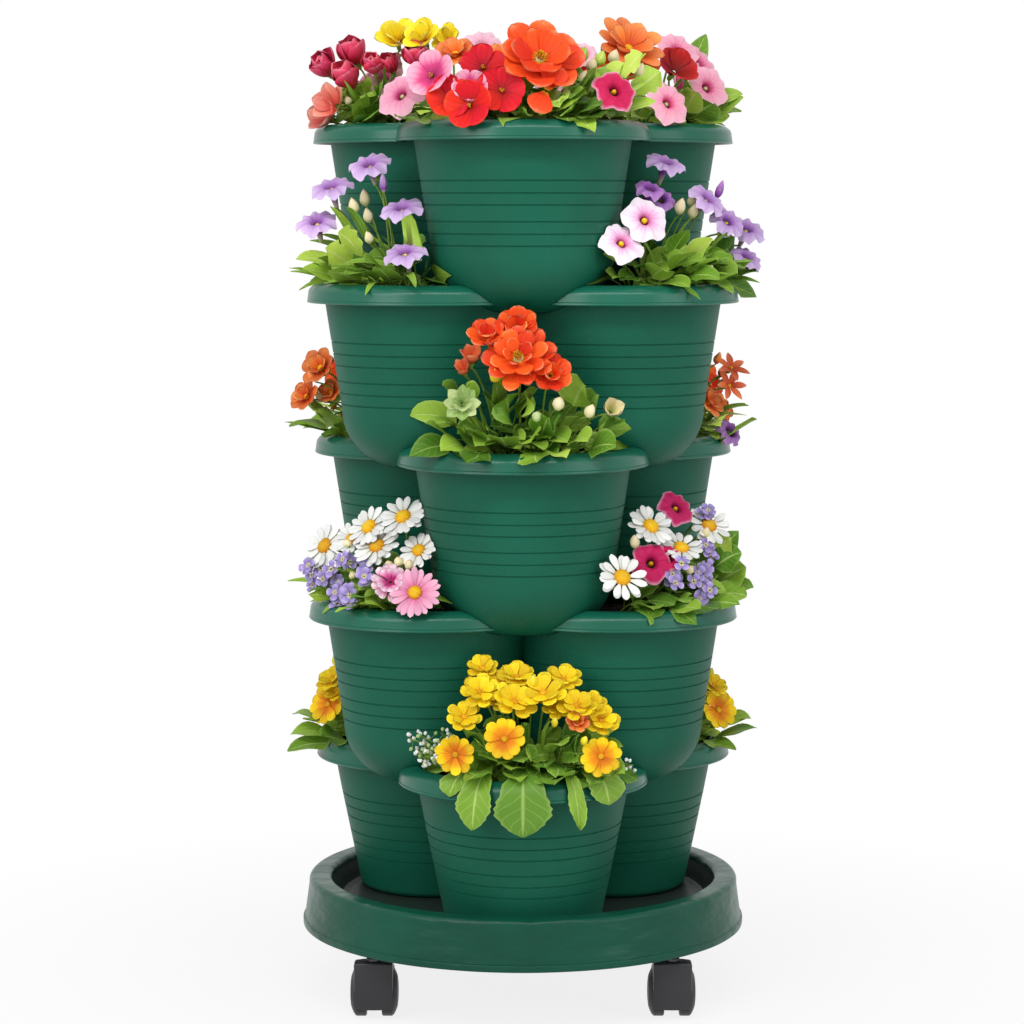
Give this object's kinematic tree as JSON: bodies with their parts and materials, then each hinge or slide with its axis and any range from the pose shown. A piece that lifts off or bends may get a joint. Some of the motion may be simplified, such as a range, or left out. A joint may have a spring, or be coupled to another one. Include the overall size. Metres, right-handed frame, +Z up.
{
  "type": "vertical planter tower",
  "caption": "Stack of trefoil pots with rolled rims, each turned to sit in the one below, planted with flowers, on a round drip tray with swivel casters.",
  "frame": {"origin": "on the floor, on the tower's vertical axis", "axes": "+Z up; -Y towards the front, where the base tier has a lobe; +X to the right seen from the front"},
  "size_m": [0.5048, 0.5009, 0.9983],
  "materials": {
    "pot_plastic": "pebbled satin, moulded",
    "tray_plastic": "satin, moulded",
    "soil": "matte, crumbly potting soil",
    "plants": "soft leaves and petals",
    "caster_plastic": "satin, moulded",
    "wheel_plastic": "satin, moulded",
    "stem_steel": "zinc-plated"
  },
  "bodies": {
    "tray": {"tray": "tray_plastic", "caster_front_left_stem": "stem_steel", "caster_front_right_stem": "stem_steel", "caster_rear_right_stem": "stem_steel", "caster_rear_left_stem": "stem_steel"},
    "tier_1": {"tier_1_pot": "pot_plastic", "tier_1_soil": "soil", "tier_1_plants_front": "plants", "tier_1_plants_rear_right": "plants", "tier_1_plants_rear_left": "plants"},
    "tier_2": {"tier_2_pot": "pot_plastic", "tier_2_soil": "soil", "tier_2_plants_front_right": "plants", "tier_2_plants_rear": "plants", "tier_2_plants_front_left": "plants"},
    "tier_3": {"tier_3_pot": "pot_plastic", "tier_3_soil": "soil", "tier_3_plants_front": "plants", "tier_3_plants_rear_right": "plants", "tier_3_plants_rear_left": "plants"},
    "tier_4": {"tier_4_pot": "pot_plastic", "tier_4_soil": "soil", "tier_4_plants_front_right": "plants", "tier_4_plants_rear": "plants", "tier_4_plants_front_left": "plants"},
    "tier_5": {"tier_5_pot": "pot_plastic", "tier_5_soil": "soil", "tier_5_plants_front": "plants", "tier_5_plants_rear_right": "plants", "tier_5_plants_rear_left": "plants"},
    "caster_front_left": {"caster_front_left_hood": "caster_plastic", "caster_front_left_axle": "stem_steel"},
    "caster_front_left_wheel_left": {"caster_front_left_wheel_left": "wheel_plastic"},
    "caster_front_left_wheel_right": {"caster_front_left_wheel_right": "wheel_plastic"},
    "caster_front_right": {"caster_front_right_hood": "caster_plastic", "caster_front_right_axle": "stem_steel"},
    "caster_front_right_wheel_left": {"caster_front_right_wheel_left": "wheel_plastic"},
    "caster_front_right_wheel_right": {"caster_front_right_wheel_right": "wheel_plastic"},
    "caster_rear_right": {"caster_rear_right_hood": "caster_plastic", "caster_rear_right_axle": "stem_steel"},
    "caster_rear_right_wheel_left": {"caster_rear_right_wheel_left": "wheel_plastic"},
    "caster_rear_right_wheel_right": {"caster_rear_right_wheel_right": "wheel_plastic"},
    "caster_rear_left": {"caster_rear_left_hood": "caster_plastic", "caster_rear_left_axle": "stem_steel"},
    "caster_rear_left_wheel_left": {"caster_rear_left_wheel_left": "wheel_plastic"},
    "caster_rear_left_wheel_right": {"caster_rear_left_wheel_right": "wheel_plastic"}
  },
  "joints": [
    {"name": "lift_tier_1", "type": "slide", "parent": "tray", "child": "tier_1", "axis": [0, 0, 1], "range_m": [0, 0.2]},
    {"name": "lift_tier_2", "type": "slide", "parent": "tier_1", "child": "tier_2", "axis": [0, 0, 1], "range_m": [0, 0.2]},
    {"name": "lift_tier_3", "type": "slide", "parent": "tier_2", "child": "tier_3", "axis": [0, 0, 1], "range_m": [0, 0.2]},
    {"name": "lift_tier_4", "type": "slide", "parent": "tier_3", "child": "tier_4", "axis": [0, 0, 1], "range_m": [0, 0.2]},
    {"name": "lift_tier_5", "type": "slide", "parent": "tier_4", "child": "tier_5", "axis": [0, 0, 1], "range_m": [0, 0.2]},
    {"name": "swivel_front_left", "type": "hinge", "parent": "tray", "child": "caster_front_left", "pos_m": [-0.14955, -0.14955, 0.05], "axis": [0, 0, 1], "continuous": true},
    {"name": "roll_front_left_left", "type": "hinge", "parent": "caster_front_left", "child": "caster_front_left_wheel_left", "pos_m": [-0.14955, -0.12955, 0.025], "axis": [1, 0, 0], "continuous": true},
    {"name": "roll_front_left_right", "type": "hinge", "parent": "caster_front_left", "child": "caster_front_left_wheel_right", "pos_m": [-0.14955, -0.12955, 0.025], "axis": [1, 0, 0], "continuous": true},
    {"name": "swivel_front_right", "type": "hinge", "parent": "tray", "child": "caster_front_right", "pos_m": [0.14955, -0.14955, 0.05], "axis": [0, 0, 1], "continuous": true},
    {"name": "roll_front_right_left", "type": "hinge", "parent": "caster_front_right", "child": "caster_front_right_wheel_left", "pos_m": [0.14955, -0.12955, 0.025], "axis": [1, 0, 0], "continuous": true},
    {"name": "roll_front_right_right", "type": "hinge", "parent": "caster_front_right", "child": "caster_front_right_wheel_right", "pos_m": [0.14955, -0.12955, 0.025], "axis": [1, 0, 0], "continuous": true},
    {"name": "swivel_rear_right", "type": "hinge", "parent": "tray", "child": "caster_rear_right", "pos_m": [0.14955, 0.14955, 0.05], "axis": [0, 0, 1], "continuous": true},
    {"name": "roll_rear_right_left", "type": "hinge", "parent": "caster_rear_right", "child": "caster_rear_right_wheel_left", "pos_m": [0.14955, 0.16955, 0.025], "axis": [1, 0, 0], "continuous": true},
    {"name": "roll_rear_right_right", "type": "hinge", "parent": "caster_rear_right", "child": "caster_rear_right_wheel_right", "pos_m": [0.14955, 0.16955, 0.025], "axis": [1, 0, 0], "continuous": true},
    {"name": "swivel_rear_left", "type": "hinge", "parent": "tray", "child": "caster_rear_left", "pos_m": [-0.14955, 0.14955, 0.05], "axis": [0, 0, 1], "continuous": true},
    {"name": "roll_rear_left_left", "type": "hinge", "parent": "caster_rear_left", "child": "caster_rear_left_wheel_left", "pos_m": [-0.14955, 0.16955, 0.025], "axis": [1, 0, 0], "continuous": true},
    {"name": "roll_rear_left_right", "type": "hinge", "parent": "caster_rear_left", "child": "caster_rear_left_wheel_right", "pos_m": [-0.14955, 0.16955, 0.025], "axis": [1, 0, 0], "continuous": true}
  ]
}
